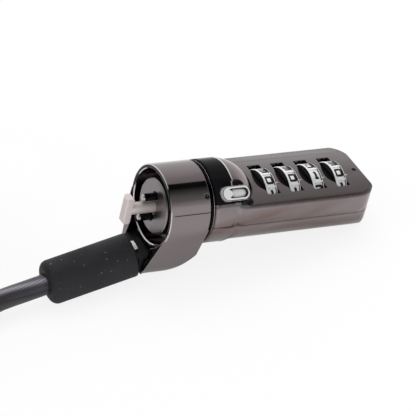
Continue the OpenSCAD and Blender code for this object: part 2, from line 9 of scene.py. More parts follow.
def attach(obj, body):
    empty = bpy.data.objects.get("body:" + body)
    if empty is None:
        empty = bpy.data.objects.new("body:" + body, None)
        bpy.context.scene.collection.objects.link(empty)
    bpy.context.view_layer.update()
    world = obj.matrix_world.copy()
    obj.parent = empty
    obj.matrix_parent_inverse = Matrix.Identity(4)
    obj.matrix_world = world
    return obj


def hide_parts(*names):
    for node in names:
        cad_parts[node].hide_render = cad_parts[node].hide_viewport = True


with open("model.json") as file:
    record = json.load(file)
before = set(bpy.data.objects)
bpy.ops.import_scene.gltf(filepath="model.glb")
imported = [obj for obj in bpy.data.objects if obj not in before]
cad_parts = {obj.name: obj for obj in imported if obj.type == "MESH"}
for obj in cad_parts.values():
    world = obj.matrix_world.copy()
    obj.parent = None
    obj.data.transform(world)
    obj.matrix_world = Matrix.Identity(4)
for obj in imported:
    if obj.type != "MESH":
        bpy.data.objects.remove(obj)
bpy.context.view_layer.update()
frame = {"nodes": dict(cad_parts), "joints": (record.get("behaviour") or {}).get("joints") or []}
nodes = frame["nodes"]


# Camera: a long lens that looks down from the near side, so that the dial
# face is seen slantwise and the open nose points to the left.
camera = bpy.data.objects.new("camera", bpy.data.cameras.new("camera"))
camera.data.lens = 235.8
camera.data.sensor_width = 36
camera.data.clip_start = 0.01
camera.data.clip_end = 20
camera.location = (-0.20138, -0.39764, 0.38207)
camera.rotation_euler = [math.radians(angle) for angle in (50.312, -0.822, -26.237)]
bpy.context.scene.collection.objects.link(camera)
bpy.context.scene.camera = camera


# Cable: 4.5 mm of twisted steel wire in a smoky clear plastic sleeve. It
# comes out of the boot, runs along the table and is wound into a neat coil
# of four layers. Its end turns in over the coil, into the crimped ferrule.
def point(*mm):
    """A place or a direction that is given in millimetres."""
    return Vector(mm) / 1000


def in_mm(place):
    """A place in metres as millimetres, rounded to the micrometres that it was designed in."""
    return [round(1000 * part, 3) for part in place]


# the lock's own axes as it lies: X from nose to tail along the swivel, Z out of the dial face.
# Their origin is 8 mm ahead of the swivel's joint, in the mouth of the nose.
joints = {joint["name"]: joint for joint in frame["joints"]}
SWIVEL_X = 8
swivel_axis = Vector(joints["head_swivel"]["axis"])
swivel_at = Vector(joints["head_swivel"]["pos_m"])
LOCK_TILT = math.radians(round(math.degrees(math.atan2(-swivel_axis.z, swivel_axis.x)), 3))
LOCK_AT = point(*in_mm(swivel_at - SWIVEL_X / 1000 * swivel_axis))
LOCK = Matrix.Translation(LOCK_AT) @ Matrix.Rotation(LOCK_TILT, 4, "Y")


def joint_in_lock(name):
    """Where a joint is in the lock's own axes, in millimetres."""
    return in_mm(LOCK.inverted() @ Vector(joints[name]["pos_m"]))


# the boot leans down from the lock's axis by this angle, round the pivot
BOOT_LEAN = math.radians(15.5)
PIVOT_X, PIVOT_Y, PIVOT_Z = joint_in_lock("cable_pivot")

CABLE_D = 4.5
TUBE_SIDES = 20
# the coil's centre and lowest layer, and the turns in each of its layers
COIL_X, COIL_Y, COIL_Z = -81, 21.6, 2.3
LAYERS = 4
TURNS = 2.3
TURN_PITCH = 5
COIL_INNER = 17
COIL_OUTER = COIL_INNER + TURNS * TURN_PITCH
POINTS_PER_TURN = 24


def along_boot(distance):
    """The place on the boot's axis at a distance from the pivot."""
    run, fall = distance * math.cos(BOOT_LEAN), distance * math.sin(BOOT_LEAN)
    return LOCK @ point(PIVOT_X - run, PIVOT_Y, PIVOT_Z - fall)


def on_coil(turned):
    """The place on the coil after so many turns. Its layers run inwards and outwards by turns."""
    radius = COIL_INNER + abs(TURNS - turned % (2 * TURNS)) * TURN_PITCH
    angle = math.radians(-90 - 360 * turned)
    climb = sum(min(1, max(0, 2 * (turned - layer * TURNS) + 0.5)) for layer in range(1, LAYERS))
    across, aside = radius * math.cos(angle), radius * math.sin(angle)
    return point(COIL_X + across, COIL_Y + aside, COIL_Z + TURN_PITCH * climb)


def smooth(share):
    """A share from 0 to 1 that starts and ends gently."""
    share = min(1, max(0, share))
    return share * share * (3 - 2 * share)


def flat_way(degrees):
    """The level direction at an angle round the table."""
    return Vector((math.cos(math.radians(degrees)), math.sin(math.radians(degrees)), 0))


# out of the boot, which ends 23.1 mm from the pivot, down to the table and on to the coil
route = [along_boot(distance) for distance in (8, 14, 19, 23.1)]
route += [
    point(*place)
    for place in (
        (-42, 0, 4.42), (-47.5, 0, 4.1), (-52.5, -0.7, 3.6), (-57.5, -3, 3.1), (-62.5, -5.6, 2.6),
        (-66, -6.6, 2.4), (-69.5, -6.9, 2.3), (COIL_X + CABLE_D, COIL_Y - COIL_OUTER, COIL_Z),
    )
]  # fmt: skip
route += [on_coil(step / POINTS_PER_TURN) for step in range(int(LAYERS * TURNS * POINTS_PER_TURN))]
route.append(on_coil(LAYERS * TURNS - 0.0001))

# the heading where the cable leaves the coil, and the ferrule's own, in degrees
LEAVE = -180 - 360 * LAYERS * TURNS
LOOP_TURN = 5
# the end rises in a bend over the coil, to a ferrule that lies just over the top layer
TAIL_LEAD = CABLE_D + 2
TAIL_BEND = 14
TAIL_STEPS = 12
RISE_OVER = 80
FERRULE_H = CABLE_D + 1.6
FERRULE_GAP = 0.6
LOOP_Z = COIL_Z + (LAYERS - 0.5) * TURN_PITCH + FERRULE_GAP + FERRULE_H / 2
coil_end = route[-1]
tail_start = coil_end + TAIL_LEAD / 1000 * flat_way(LEAVE)
route.append(coil_end + CABLE_D / 1000 * flat_way(LEAVE))
tail_turn = (LEAVE - LOOP_TURN) % 360
tail_centre = tail_start + TAIL_BEND / 1000 * flat_way(LEAVE - 90)
for step in range(TAIL_STEPS + 1):
    turned = step * tail_turn / TAIL_STEPS
    rise = Vector((0, 0, LOOP_Z / 1000 - tail_start.z)) * smooth(turned / RISE_OVER)
    route.append(tail_centre + TAIL_BEND / 1000 * flat_way(LEAVE - turned + 90) + rise)
route.append(route[-1] + 0.003 * flat_way(LOOP_TURN))


def in_scene(name, shape):
    """A new object in the scene, with a finished bmesh as its mesh."""
    made = bpy.data.objects.new(name, bpy.data.meshes.new(name))
    shape.to_mesh(made.data)
    shape.free()
    bpy.context.scene.collection.objects.link(made)
    return made


def tube_along(name, points, radius, sides):
    """A tube with a UV map that counts metres along it and turns round it."""
    shape = bmesh.new()
    uv = shape.loops.layers.uv.new("along")
    rings = []
    run = 0
    for index, place in enumerate(points):
        before = points[max(index - 1, 0)]
        after = points[min(index + 1, len(points) - 1)]
        ahead = (after - before).normalized()
        side = ahead.cross(Vector((0, 0, 1))).normalized()
        turn = Matrix((side, side.cross(ahead), ahead)).transposed().to_4x4()
        where = Matrix.Translation(place) @ turn
        ring = bmesh.ops.create_circle(shape, segments=sides, radius=radius, matrix=where)
        run += (place - before).length
        rings.append((ring["verts"], run))
    for (low, start), (high, end) in zip(rings, rings[1:]):
        for side in range(sides):
            other = (side + 1) % sides
            face = shape.faces.new((low[side], low[other], high[other], high[side]))
            face.smooth = True
            corners = ((side, start), (side + 1, start), (side + 1, end), (side, end))
            for loop, (around, metres) in zip(face.loops, corners):
                loop[uv].uv = (around / sides, metres)
    for ring, _ in (rings[0], rings[-1]):
        shape.faces.new(ring)
    bmesh.ops.recalc_face_normals(shape, faces=shape.faces)
    return in_scene(name, shape)


def spline_through(points, step):
    """Points on a smooth curve through the given ones, about a step apart."""
    out = []
    for index in range(len(points) - 1):
        near, far = points[index], points[index + 1]
        before = points[index - 1] if index else near
        after = points[index + 2] if index + 2 < len(points) else far
        count = max(1, round((far - near).length / step))
        for part in range(count):
            share = part / count
            straight = (far - before) * share
            bend = (2 * before - 5 * near + 4 * far - after) * share**2
            twist = (3 * near - before - 3 * far + after) * share**3
            out.append(0.5 * (2 * near + straight + bend + twist))
    return out + [points[-1]]


ROUTE_STEP, BOW_STEP = 0.003, 0.002
route = spline_through(route, ROUTE_STEP)
cable = tube_along("sleeved_cable", route, CABLE_D / 2000, TUBE_SIDES)


def material(name, color, roughness, metallic=0.0, **sockets):
    """A new material, with the plain values on its shader's own sockets."""
    made = bpy.data.materials.new(name)
    made.use_nodes = True
    shader = made.node_tree.nodes["Principled BSDF"]
    shader.inputs["Base Color"].default_value = (*color, 1)
    shader.inputs["Roughness"].default_value = roughness
    shader.inputs["Metallic"].default_value = metallic
    for socket, value in sockets.items():
        shader.inputs[socket.replace("_", " ")].default_value = value
    return made


def drive(tree, socket, output):
    """Lets a node's output drive a socket of the material's shader."""
    tree.links.new(output, tree.nodes["Principled BSDF"].inputs[socket])


def math_node(tree, operation, *values, clamp=False):
    """A Math node. Each value is a number or another node's output."""
    made = tree.nodes.new("ShaderNodeMath")
    made.operation = operation
    made.use_clamp = clamp
    for socket, value in zip(made.inputs, values):
        if isinstance(value, (int, float)):
            socket.default_value = value
        else:
            tree.links.new(value, socket)
    return made.outputs[0]


def mixed(tree, mask, low, high):
    """The colour that goes from low to high with the mask. Either may be another node's output."""
    made = tree.nodes.new("ShaderNodeMix")
    made.data_type = "RGBA"
    tree.links.new(mask, made.inputs[0])
    for socket, value in ((made.inputs[6], low), (made.inputs[7], high)):
        if isinstance(value, tuple):
            socket.default_value = (*value, 1)
        else:
            tree.links.new(value, socket)
    return made.outputs[2]


def between(tree, mask, low, high):
    """A value that goes from low to high with the mask."""
    made = tree.nodes.new("ShaderNodeMapRange")
    tree.links.new(mask, made.inputs["Value"])
    made.inputs["To Min"].default_value = low
    made.inputs["To Max"].default_value = high
    return made.outputs[0]


def noise(tree, scale, detail=2.0, stretch=None):
    """A noise in object coordinates, in features per metre, drawn out along the lock by stretch."""
    made = tree.nodes.new("ShaderNodeTexNoise")
    made.inputs["Detail"].default_value = detail
    if isinstance(scale, (int, float)):
        made.inputs["Scale"].default_value = scale
    else:
        tree.links.new(scale, made.inputs["Scale"])
    place = tree.nodes.new("ShaderNodeTexCoord").outputs["Object"]
    if stretch:
        mapping = tree.nodes.new("ShaderNodeMapping")
        mapping.inputs["Scale"].default_value = stretch
        mapping.inputs["Rotation"].default_value = (0, -LOCK_TILT, 0)
        tree.links.new(place, mapping.inputs["Vector"])
        place = mapping.outputs[0]
    tree.links.new(place, made.inputs["Vector"])
    return made.outputs["Fac"]


def bumped(tree, height, distance):
    """A Bump node on the shader's normal, over what drove it before."""
    normal = tree.nodes["Principled BSDF"].inputs["Normal"]
    made = tree.nodes.new("ShaderNodeBump")
    made.inputs["Distance"].default_value = distance
    tree.links.new(height, made.inputs["Height"])
    if normal.is_linked:
        tree.links.new(normal.links[0].from_socket, made.inputs["Normal"])
    tree.links.new(made.outputs[0], normal)
    return made


# Six strands of wire lie side by side in a slow twist, under a clear and glossy sleeve. The
# twist's pitch is in metres, as the UV map counts them.
TWIST_PITCH = 0.16
STRANDS = 6
WIRES_ROUND, WIRES_ALONG = 24, 60
sleeved = material(
    "smoky_sleeve_over_wire",
    (0.04, 0.037, 0.045),
    roughness=0.35,
    metallic=0.1,
    Coat_Weight=0.25,
    Coat_Roughness=0.12,
    Specular_IOR_Level=0.3,
)
tree = sleeved.node_tree
along = tree.nodes.new("ShaderNodeUVMap")
along.uv_map = "along"
split = tree.nodes.new("ShaderNodeSeparateXYZ")
tree.links.new(along.outputs[0], split.inputs[0])
turn = math_node(tree, "MULTIPLY", split.outputs["X"], 2 * math.pi)
run = math_node(tree, "MULTIPLY", split.outputs["Y"], 2 * math.pi / TWIST_PITCH)
twist = math_node(tree, "ADD", turn, run)
strands = math_node(tree, "SINE", math_node(tree, "MULTIPLY", twist, STRANDS / 2))
strands = math_node(tree, "POWER", math_node(tree, "ABSOLUTE", strands), 0.6)
# the fine wires of each strand run the other way round
wires_turn = math_node(tree, "MULTIPLY", turn, WIRES_ROUND)
wires_run = math_node(tree, "MULTIPLY", run, WIRES_ALONG)
wires = math_node(tree, "SINE", math_node(tree, "SUBTRACT", wires_turn, wires_run))
lay = math_node(tree, "MULTIPLY", strands, between(tree, wires, 0.8, 1.0))
cloud = between(tree, noise(tree, 260, detail=3), 0.55, 1.25)
shade = math_node(tree, "MULTIPLY", lay, cloud, clamp=True)
smoky = mixed(tree, shade, (0.003, 0.003, 0.004), (0.05, 0.046, 0.058))
# one strand lies against the sleeve, and a painted highlight runs along it
strand_highlight = math_node(tree, "ADD", math_node(tree, "MULTIPLY", twist, 0.5), 1.07)
strand_highlight = math_node(tree, "ABSOLUTE", math_node(tree, "SINE", strand_highlight))
strand_highlight = math_node(tree, "POWER", strand_highlight, 110.0)
strand_highlight = math_node(tree, "MULTIPLY", strand_highlight, between(tree, wires, 0.6, 1.0))
drive(tree, "Base Color", mixed(tree, strand_highlight, smoky, (0.36, 0.34, 0.39)))
bumped(tree, lay, 0.0001).inputs["Strength"].default_value = 0.5
cable.data.materials.append(sleeved)
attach(cable, "cable")
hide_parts("cable", "cable_coil", "cable_tail")


# Loop: the cable's end, turned back into the ferrule, wide enough for the
# lock to pass through.
LOOP_R, LOOP_L = 13, 27
SPREAD_STEPS = 6
FERRULE_L = 11
# how far each of the two strands lies from the ferrule's middle
STRAND = CABLE_D / 2 + 0.8
half = [point(x, STRAND, 0) for x in (0, 4, 8, FERRULE_L)]
for step in range(1, SPREAD_STEPS):
    share = step / SPREAD_STEPS
    half.append(point(FERRULE_L + LOOP_L * share, STRAND + (LOOP_R - STRAND) * smooth(share), 0))
for step in range(6):
    angle = math.radians(15 * step)
    half.append(point(FERRULE_L + LOOP_L + LOOP_R * math.sin(angle), LOOP_R * math.cos(angle), 0))
back = [Vector((place.x, -place.y, 0)) for place in reversed(half)]
back[-1] = point(1, -STRAND, 0)
bow = half + [point(FERRULE_L + LOOP_L + LOOP_R, 0, 0)] + back
loop_place = Matrix.Translation(route[-1]) @ Matrix.Rotation(math.radians(LOOP_TURN), 4, "Z")
loop_place = loop_place @ Matrix.Translation(point(0, -STRAND, 0))
bow = [loop_place @ place for place in spline_through(bow, BOW_STEP)]
end_loop = tube_along("end_loop", bow, CABLE_D / 2000, TUBE_SIDES)
end_loop.data.materials.append(sleeved)
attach(end_loop, "cable")
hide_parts("anchor_loop")


# Ferrule: a steel sleeve with two bores, pressed over the cable and its
# returning end. Pressing leaves it slightly uneven, and its edges are lightened for wear and as a painted
# highlight.
def effect(name, inputs, outputs):
    """An empty node group: its tree, its group input and its group output."""
    made = bpy.data.node_groups.new(name, "ShaderNodeTree")
    for label, value in inputs:
        socket = made.interface.new_socket(name=label, in_out="INPUT", socket_type="NodeSocketFloat")
        socket.default_value = value
    for label, kind in outputs:
        made.interface.new_socket(name=label, in_out="OUTPUT", socket_type="NodeSocket" + kind)
    return made, made.nodes.new("NodeGroupInput"), made.nodes.new("NodeGroupOutput")


def placed(tree, group, **values):
    """A node that uses a group, with its own values."""
    made = tree.nodes.new("ShaderNodeGroup")
    made.node_tree = group
    for label, value in values.items():
        made.inputs[label.replace("_", " ")].default_value = value
    return made


def ramp(tree, over, under, slope):
    """A mask that grows by the slope as one value passes another, up to 1."""
    return math_node(tree, "MULTIPLY", math_node(tree, "SUBTRACT", over, under), slope, clamp=True)


# Edges with a small radius, and a mask of where hands rub them bright, which also paints a highlight along
# them.
edge_wear_and_highlight, into, out = effect(
    "edge_wear_and_highlight", [("Radius", 0.00012), ("Scale", 900)], [("Worn_and_lit", "Float"), ("Normal", "Vector")]
)
rounded = edge_wear_and_highlight.nodes.new("ShaderNodeBevel")
rounded.samples = 6
flat = edge_wear_and_highlight.nodes.new("ShaderNodeNewGeometry")
turned = edge_wear_and_highlight.nodes.new("ShaderNodeVectorMath")
turned.operation = "DOT_PRODUCT"
edge_wear_and_highlight.links.new(into.outputs["Radius"], rounded.inputs["Radius"])
edge_wear_and_highlight.links.new(rounded.outputs[0], turned.inputs[0])
edge_wear_and_highlight.links.new(flat.outputs["Normal"], turned.inputs[1])
near_edge = ramp(edge_wear_and_highlight, 1.0, turned.outputs["Value"], 6.0)
broken = between(edge_wear_and_highlight, noise(edge_wear_and_highlight, into.outputs["Scale"], detail=3), 0.2, 1.3)
rubbed_and_lit_edge = math_node(edge_wear_and_highlight, "MULTIPLY", near_edge, broken, clamp=True)
edge_wear_and_highlight.links.new(rubbed_and_lit_edge, out.inputs["Worn_and_lit"])
edge_wear_and_highlight.links.new(rounded.outputs[0], out.inputs["Normal"])

# Fine grain of a finish: a value for its tone and a height for its bump.
fine_grain, into, out = effect("fine_grain", [("Scale", 4000)], [("Tone", "Float"), ("Height", "Float")])
grain = noise(fine_grain, into.outputs["Scale"], detail=4)
fine_grain.links.new(grain, out.inputs["Tone"])
fine_grain.links.new(math_node(fine_grain, "POWER", grain, 1.5), out.inputs["Height"])

# Faint smears of handling, which dull a polish in soft patches.
handling, into, out = effect("handling", [("Scale", 90)], [("Smear", "Float")])
smears = noise(handling, into.outputs["Scale"], detail=5)
handling.links.new(ramp(handling, smears, 0.42, 3.0), out.inputs["Smear"])


def finished(
    name,
    color,
    roughness,
    metallic=0.0,
    worn_and_lit=None,
    grain=4000,
    grain_height=0.000004,
    dull=0.08,
    radius=0.00012,
    **sockets,
):
    """A material with edges lightened for wear and as a painted highlight, fine grain and faint smears. Its
    edge colour is that of a rubbed edge with a painted highlight on it.
    """
    made = material(name, color, roughness, metallic, **sockets)
    tree = made.node_tree
    edges = placed(tree, edge_wear_and_highlight, Radius=radius)
    grains = placed(tree, fine_grain, Scale=grain)
    smears = placed(tree, handling)
    darker = tuple(0.9 * part for part in color)
    lighter = tuple(min(1, 1.1 * part) for part in color)
    base = mixed(tree, grains.outputs["Tone"], darker, lighter)
    # the edges are lightened for wear and as a painted highlight
    if worn_and_lit:
        base = mixed(tree, math_node(tree, "MULTIPLY", edges.outputs["Worn_and_lit"], 0.55), base, worn_and_lit)
    drive(tree, "Base Color", base)
    drive(tree, "Roughness", between(tree, smears.outputs["Smear"], roughness, min(1, roughness + dull)))
    drive(tree, "Normal", edges.outputs["Normal"])
    bumped(tree, grains.outputs["Height"], grain_height)
    return made


def coat_nodes(made, *names):
    """Gives a material to every slot of the named CAD pieces."""
    for name in names:
        for slot in nodes[name].material_slots:
            slot.link = "OBJECT"
            slot.material = made


pressed_steel = finished(
    "pressed_steel",
    (0.42, 0.42, 0.43),
    roughness=0.32,
    metallic=1.0,
    worn_and_lit=(0.75, 0.75, 0.76),
    grain=900,
    grain_height=0.00002,
)
coat_nodes(pressed_steel, "loop_ferrule")


# Boot: a thick moulded rubber sleeve over the crimped end of the cable. It is
# matt, with a fine skin and a few specks of dust.
moulded_rubber = finished(
    "moulded_rubber",
    (0.019, 0.019, 0.023),
    roughness=0.6,
    grain=2600,
    grain_height=0.00001,
    dull=0.2,
    radius=0.0003,
    Specular_IOR_Level=0.35,
)
tree = moulded_rubber.node_tree
specks = math_node(tree, "GREATER_THAN", noise(tree, 1500, detail=1), 0.735)
scuffed = math_node(tree, "MULTIPLY", between(tree, noise(tree, 320, detail=5), -0.9, 1.1), 0.5, clamp=True)
rubber_tone = mixed(tree, scuffed, (0.0165, 0.0165, 0.0205), (0.029, 0.029, 0.035))
drive(tree, "Base Color", mixed(tree, specks, rubber_tone, (0.1, 0.1, 0.11)))
coat_nodes(moulded_rubber, "cable_boot")


# Fitting and pivot: the crimped metal end of the cable hinges on a pin between
# the ears. It is black plated, with a bright spot beside the boot painted on as a highlight.
def coloured(tree, mask, color):
    """Lays a colour over the shader's base colour, as far as the mask goes."""
    base = tree.nodes["Principled BSDF"].inputs["Base Color"]
    drive(tree, "Base Color", mixed(tree, mask, base.links[0].from_socket, color))


GLINT_R = 1.3
fitting_plating = finished(
    "fitting_plating", (0.009, 0.009, 0.01), roughness=0.3, metallic=0.6, worn_and_lit=(0.06, 0.06, 0.06)
)
tree = fitting_plating.node_tree
boot_way = point(-math.cos(BOOT_LEAN), 0, -math.sin(BOOT_LEAN))
boot_up = point(-math.sin(BOOT_LEAN), 0, math.cos(BOOT_LEAN))
reach = tree.nodes.new("ShaderNodeVectorMath")
reach.operation = "DISTANCE"
reach.inputs[1].default_value = LOCK @ (point(PIVOT_X, PIVOT_Y - 0.5, PIVOT_Z) + 2.9 * boot_way + 3 * boot_up)
tree.links.new(tree.nodes.new("ShaderNodeTexCoord").outputs["Object"], reach.inputs[0])
# painted highlight: a bright spot on the fitting beside the boot
painted_glint = math_node(tree, "LESS_THAN", reach.outputs["Value"], GLINT_R / 1000)
coloured(tree, painted_glint, (0.95, 0.93, 0.93))
drive(tree, "Metallic", between(tree, painted_glint, 0.6, 0.2))
coat_nodes(fitting_plating, "cable_fitting")
bright_steel = finished(
    "bright_steel", (0.56, 0.55, 0.55), roughness=0.22, metallic=1.0, worn_and_lit=(0.85, 0.85, 0.85)
)
coat_nodes(bright_steel, "pivot_pin")


# Barrel: die-cast zinc, polished and plated in dark gunmetal, with its yoke of
# two ears. It swivels on the nose, with a thin plated ring behind it.
def lock_place(tree):
    """Where a point is in the lock's own axes, as three outputs in metres."""
    turned_back = tree.nodes.new("ShaderNodeMapping")
    turned_back.vector_type = "TEXTURE"
    turned_back.inputs["Location"].default_value = LOCK.to_translation()
    turned_back.inputs["Rotation"].default_value = LOCK.to_euler()
    tree.links.new(tree.nodes.new("ShaderNodeTexCoord").outputs["Object"], turned_back.inputs["Vector"])
    parts = tree.nodes.new("ShaderNodeSeparateXYZ")
    tree.links.new(turned_back.outputs[0], parts.inputs[0])
    return parts.outputs["X"], parts.outputs["Y"], parts.outputs["Z"]


def beyond(tree, value, edge):
    """A mask of where a value is more than an edge in millimetres."""
    return math_node(tree, "GREATER_THAN", value, edge / 1000)


def within(tree, value, low, high):
    """A mask of where a value lies between low and high millimetres."""
    below = math_node(tree, "LESS_THAN", value, high / 1000)
    return math_node(tree, "MULTIPLY", beyond(tree, value, low), below)


def squared(tree, value):
    """A value's square."""
    return math_node(tree, "MULTIPLY", value, value)


def gunmetal(name, brown):
    """Polished gunmetal plating. brown is how far the plating's warm bands show."""
    made = finished(
        name,
        (0.235, 0.203, 0.208),
        roughness=0.055,
        metallic=1.0,
        worn_and_lit=(0.4, 0.37, 0.37),
        grain=5200,
        grain_height=0.0000008,
        dull=0.07,
        radius=0.0002,
    )
    tree = made.node_tree
    bands = noise(tree, 95, detail=3, stretch=(0.3, 1.6, 1.6))
    coloured(tree, ramp(tree, bands, 0.5, brown), (0.165, 0.112, 0.1))
    return made


barrel_plating = gunmetal("barrel_plating", 1.5)
tree = barrel_plating.node_tree
x, y, z = lock_place(tree)
from_axis = math_node(tree, "SQRT", math_node(tree, "ADD", squared(tree, y), squared(tree, z)))
# the flat of the front rim is painted dark as a reflection, and its two edges are painted bright as
# highlights
RIM_REFLECTION_X, HIGHLIGHT_LIPS_X = (-0.5, 0.12), (-0.1, 0.24)
RIM_REFLECTION_R, INNER_HIGHLIGHT_R, OUTER_HIGHLIGHT_R = (8.18, 8.82), (7.9, 8.2), (8.8, 9.02)
rim_reflection = math_node(tree, "MULTIPLY", within(tree, x, *RIM_REFLECTION_X), within(tree, from_axis, *RIM_REFLECTION_R))
coloured(tree, rim_reflection, (0.018, 0.016, 0.017))
rim_highlights = math_node(tree, "ADD", within(tree, from_axis, *INNER_HIGHLIGHT_R), within(tree, from_axis, *OUTER_HIGHLIGHT_R))
coloured(tree, math_node(tree, "MULTIPLY", rim_highlights, within(tree, x, *HIGHLIGHT_LIPS_X)), (0.6, 0.56, 0.56))
# a fine parting line runs along each side, painted dark as a reflected line
PARTING_X, PARTING_Z = (0.9, 9.7), (3.11, 3.27)
parting_line_reflection = math_node(tree, "MULTIPLY", within(tree, z, *PARTING_Z), within(tree, x, *PARTING_X))
coloured(tree, parting_line_reflection, (0.03, 0.025, 0.026))
coat_nodes(barrel_plating, "barrel")
# the ring is painted black in front as shade in the gap, and bright behind as a painted highlight
RING_STEP_X = 10.26
ring_plating = gunmetal("ring_plating", 1.5)
tree = ring_plating.node_tree
shade_to_highlight_step = beyond(tree, lock_place(tree)[0], RING_STEP_X)
drive(tree, "Base Color", mixed(tree, shade_to_highlight_step, (0.01, 0.009, 0.01), (0.62, 0.55, 0.53)))
coat_nodes(ring_plating, "trim_ring")
dark_screw = finished(
    "dark_screw", (0.035, 0.035, 0.037), roughness=0.25, metallic=0.9, worn_and_lit=(0.6, 0.58, 0.58)
)
coat_nodes(dark_screw, "grub_screw", "housing_screws")


# Nose: the satin disc and tube that the barrel swivels on, with two black pins
# pressed in beside the T-bar. The T-bar's head is of satin nickel, much paler.
nose_satin = finished(
    "nose_satin", (0.25, 0.225, 0.23), roughness=0.3, metallic=1.0, worn_and_lit=(0.6, 0.58, 0.58), grain=3000
)
coat_nodes(nose_satin, "nose_core")
# the pins' tips are painted bright as highlights
PIN_TIP_X = -2.36
black_plating = finished(
    "black_plating", (0.02, 0.02, 0.022), roughness=0.12, metallic=0.9, worn_and_lit=(0.25, 0.24, 0.24)
)
tree = black_plating.node_tree
tip_highlight = math_node(tree, "LESS_THAN", lock_place(tree)[0], PIN_TIP_X / 1000)
coloured(tree, math_node(tree, "MULTIPLY", tip_highlight, 0.6), (0.8, 0.74, 0.74))
coat_nodes(black_plating, "security_pins")
head_satin = finished(
    "head_satin",
    (0.74, 0.66, 0.65),
    roughness=0.42,
    metallic=0.5,
    worn_and_lit=(0.8, 0.74, 0.73),
    grain=3500,
    grain_height=0.000006,
)
coat_nodes(head_satin, "t_bar")
coat_nodes(bright_steel, "t_bar_crank")


# Housing: two die-cast shells with a seam along the side, screwed together
# from below, in the barrel's plating. A black inlay covers the neck.
def patch(tree, place, centre, half):
    """A soft-edged oval patch: a mask round a point, with its half sizes in millimetres."""
    total = None
    for value, at, size in zip(place, centre, half):
        away = math_node(tree, "MULTIPLY", math_node(tree, "SUBTRACT", value, at / 1000), 1000 / size)
        away = squared(tree, away)
        total = math_node(tree, "ADD", total, away) if total else away
    return ramp(tree, 1.2, total, 4.0)


housing_plating = gunmetal("housing_plating", 4.0)
tree = housing_plating.node_tree
x, y, z = lock_place(tree)
aside = math_node(tree, "ABSOLUTE", y)
# the outer edges shade rounder than those further in
ROUND_EDGE_Y, SMALL_RADIUS, LARGE_RADIUS = 6.8, 0.16, 1.6
edges = next(node for node in tree.nodes if node.type == "GROUP" and node.node_tree == edge_wear_and_highlight)
outer = beyond(tree, aside, ROUND_EDGE_Y)
edge_radius = between(tree, outer, SMALL_RADIUS / 1000, LARGE_RADIUS / 1000)
tree.links.new(edge_radius, edges.inputs["Radius"])
# the face is crowned a little, so that its polish shades from side to side, and its colour is darkened as
# painted shade
FACE_BAND_Z, FACE_START_X, CROWN = (3.7, 3.9), 18.5, -20.0
face = math_node(tree, "MULTIPLY", within(tree, z, *FACE_BAND_Z), beyond(tree, x, FACE_START_X))
crown_height = math_node(tree, "MULTIPLY", math_node(tree, "POWER", aside, 2.0), CROWN)
crown = bumped(tree, crown_height, 1.0)
tree.links.new(face, crown.inputs["Strength"])
# painted shade: the face's colour is darkened
coloured(tree, math_node(tree, "MULTIPLY", face, 0.42), (0.02, 0.016, 0.017))
# the crease round the dome's foot and the button's hollow are painted black as shade
CREASE_X, CREASE_Z, CREASE_TOP = (17.2, 26), (3.9, 6), 5.2
crease_shade = ramp(tree, CREASE_TOP / 1000, z, 1500.0)
crease_shade = math_node(tree, "MULTIPLY", crease_shade, within(tree, z, *CREASE_Z))
crease_shade = math_node(tree, "MULTIPLY", crease_shade, within(tree, x, *CREASE_X))
FOOT_AT, FOOT_HALF = (18.4, -6.5, 4.2), (1.9, 1.8, 1.6)
HOLLOW_AT, HOLLOW_HALF = (16.9, -4.9, 7.4), (1.9, 0.95, 1.2)
foot_shade = patch(tree, (x, y, z), FOOT_AT, FOOT_HALF)
hollow_shade = patch(tree, (x, y, z), HOLLOW_AT, HOLLOW_HALF)
painted_shade = math_node(tree, "MAXIMUM", math_node(tree, "MAXIMUM", foot_shade, crease_shade), hollow_shade)
coloured(tree, math_node(tree, "MULTIPLY", painted_shade, 0.93), (0.008, 0.007, 0.008))
# the dome's front edge is painted bright as a highlight where it meets the inlay
BROW_X, BROW_Z = (15.3, 15.62), (5.9, 12)
brow_highlight = math_node(tree, "MULTIPLY", within(tree, x, *BROW_X), within(tree, z, *BROW_Z))
coloured(tree, brow_highlight, (0.85, 0.83, 0.84))
coat_nodes(housing_plating, "upper_housing", "lower_housing")
gloss_black = finished(
    "gloss_black",
    (0.006, 0.006, 0.007),
    roughness=0.1,
    worn_and_lit=(0.03, 0.03, 0.03),
    dull=0.1,
    Specular_IOR_Level=0.045,
)
coat_nodes(gloss_black, "collar")

# The lower casting is polished rounder towards the belly, all round the tail, as
# far as the heads of its sunk screws allow.
casting = [in_mm(LOCK.inverted() @ corner.co) for corner in nodes["lower_housing"].data.vertices]
TAIL_X, HALF_W, _ = [max(along_axis) for along_axis in zip(*casting)]
TAIL_R, BELLY_Z, TAIL_ROUND = 5, 6.9, 3.8
# the form stands a hair outside the casting's walls, so that only its keel cuts
HAIR = 0.02
FORM_TOP = 12
CORNER_STEPS = 16
KEEL_FROM_X = 40
OFFCUT_CENTRE, OFFCUT_SIZE = (48.2, 0, -3), (12, 24, 20, 1)


def block(name, shape):
    """A closed solid drawn in the lock's own axes, as an object where the lock lies."""
    bmesh.ops.recalc_face_normals(shape, faces=shape.faces)
    bmesh.ops.transform(shape, matrix=LOCK, verts=shape.verts)
    return in_scene(name, shape)


def carve(made, cutter):
    """Cuts one closed mesh out of another."""
    cut = made.modifiers.new("cut", "BOOLEAN")
    cut.operation = "DIFFERENCE"
    cut.solver = "EXACT"
    cut.object = cutter
    mesh = bpy.data.meshes.new_from_object(made.evaluated_get(bpy.context.evaluated_depsgraph_get()))
    made.modifiers.clear()
    made.data = mesh


